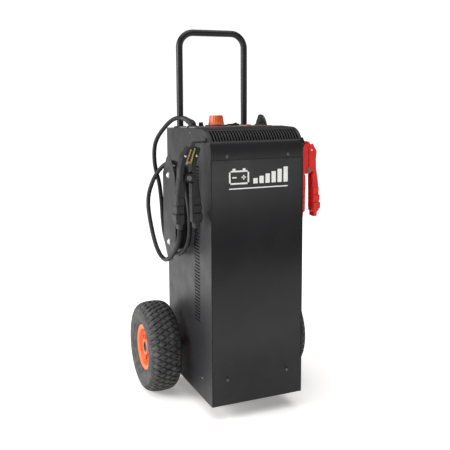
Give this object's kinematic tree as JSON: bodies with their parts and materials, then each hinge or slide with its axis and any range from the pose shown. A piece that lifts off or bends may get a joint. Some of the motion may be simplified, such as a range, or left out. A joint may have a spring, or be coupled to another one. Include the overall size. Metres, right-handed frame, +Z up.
{
  "type": "car battery charger",
  "caption": "Upright wheeled workshop battery charger with a louvred steel cabinet, tube handle, pneumatic wheels, selector knob, cable winders and two clamp leads.",
  "frame": {"origin": "on the floor, under the middle of the charger's outer box", "axes": "+X to the charger's right as seen from the front, -Y out of the front panel, +Z up"},
  "size_m": [0.488, 0.416, 1.043],
  "materials": {
    "cabinet_paint": "satin black powder coat",
    "panel_label": "matt light grey overlay with red and orange bands",
    "handle_paint": "satin black",
    "tyre": "matt dark grey rubber",
    "black_rubber": "matt black rubber",
    "black_plastic": "fine-grained black plastic",
    "lead_rubber": "satin black cable sheath",
    "orange_rim": "semi-gloss orange",
    "grey_plastic": "matt grey",
    "orange_knob": "semi-gloss orange-red",
    "clamp_black": "semi-matt black",
    "clamp_red": "semi-gloss red",
    "brass": "dull brass",
    "aluminium": "extruded",
    "lamination_steel": "varnished laminations",
    "copper_winding": "varnished copper wire",
    "circuit_board": "solder mask",
    "zinc_steel": "zinc plated"
  },
  "bodies": {
    "charger": {"axle": "zinc_steel", "axle_clip_left": "zinc_steel", "axle_clip_right": "zinc_steel", "axle_tube": "zinc_steel", "base_tray": "cabinet_paint", "clamp_inner_arm_right": "clamp_red", "clamp_jaw_inner_right": "brass", "clamp_jaw_outer_left": "brass", "clamp_outer_arm_left": "clamp_black", "clamp_pivot_left": "zinc_steel", "clamp_pivot_right": "zinc_steel", "clamp_rest_left": "cabinet_paint", "clamp_rest_right": "cabinet_paint", "clamp_spring_left": "zinc_steel", "clamp_spring_right": "zinc_steel", "control_board": "circuit_board", "control_panel": "panel_label", "fan_frame": "black_plastic", "foot_left": "black_rubber", "foot_right": "black_rubber", "front_panel": "cabinet_paint", "fuse_cap": "black_plastic", "handle_bracket_lower": "zinc_steel", "handle_bracket_upper": "zinc_steel", "handle_grommet_left": "black_rubber", "handle_grommet_right": "black_rubber", "handle_tube": "handle_paint", "lead_gland_left": "black_plastic", "lead_gland_right": "black_plastic", "lead_left": "lead_rubber", "lead_right": "lead_rubber", "left_side_panel": "cabinet_paint", "mains_inlet": "black_plastic", "rear_panel": "cabinet_paint", "rectifier_heatsink": "aluminium", "right_side_panel": "cabinet_paint", "rocker_frame": "black_plastic", "selector_bezel": "black_plastic", "top_cover": "cabinet_paint", "transformer_coil": "copper_winding", "transformer_core": "lamination_steel", "winder_core_left": "cabinet_paint", "winder_core_right": "cabinet_paint", "winder_plate_left": "cabinet_paint", "winder_plate_right": "cabinet_paint"},
    "wheel_left": {"rim_left": "orange_rim", "tyre_left": "tyre", "wheel_bush_left": "grey_plastic"},
    "wheel_right": {"rim_right": "orange_rim", "tyre_right": "tyre", "wheel_bush_right": "grey_plastic"},
    "selector": {"selector_knob": "orange_knob"},
    "rocker": {"rocker_switch": "black_plastic"},
    "fan": {"fan_rotor": "black_plastic"},
    "clamp_lever_left": {"clamp_inner_arm_left": "clamp_black", "clamp_jaw_inner_left": "brass"},
    "clamp_lever_right": {"clamp_outer_arm_right": "clamp_red", "clamp_jaw_outer_right": "brass"}
  },
  "joints": [
    {"name": "wheel_left_spin", "type": "hinge", "parent": "charger", "child": "wheel_left", "pos_m": [-0.197, 0.078, 0.13], "axis": [1, 0, 0], "continuous": true},
    {"name": "wheel_right_spin", "type": "hinge", "parent": "charger", "child": "wheel_right", "pos_m": [0.197, 0.078, 0.13], "axis": [1, 0, 0], "continuous": true},
    {"name": "selector_turn", "type": "hinge", "parent": "charger", "child": "selector", "pos_m": [-0.03, 0.00659, 0.77946], "axis": [0, 0.0513, 0.9987], "range_deg": [0, 180]},
    {"name": "rocker_tilt", "type": "hinge", "parent": "charger", "child": "rocker", "pos_m": [0.026, 0.01631, 0.77336], "axis": [0, 0.9987, -0.0513], "range_deg": [0, 16]},
    {"name": "fan_spin", "type": "hinge", "parent": "charger", "child": "fan", "pos_m": [0, 0.116, 0.594], "axis": [0, 1, 0], "continuous": true},
    {"name": "clamp_left_open", "type": "hinge", "parent": "charger", "child": "clamp_lever_left", "pos_m": [-0.18, -0.169, 0.652], "axis": [0, 1, 0], "range_deg": [0, 9], "stiffness_Nm_per_rad": 2, "springref_deg": -28.65},
    {"name": "clamp_right_open", "type": "hinge", "parent": "charger", "child": "clamp_lever_right", "pos_m": [0.18, -0.139, 0.652], "axis": [0, 1, 0], "range_deg": [0, 9], "stiffness_Nm_per_rad": 2, "springref_deg": -28.65}
  ]
}
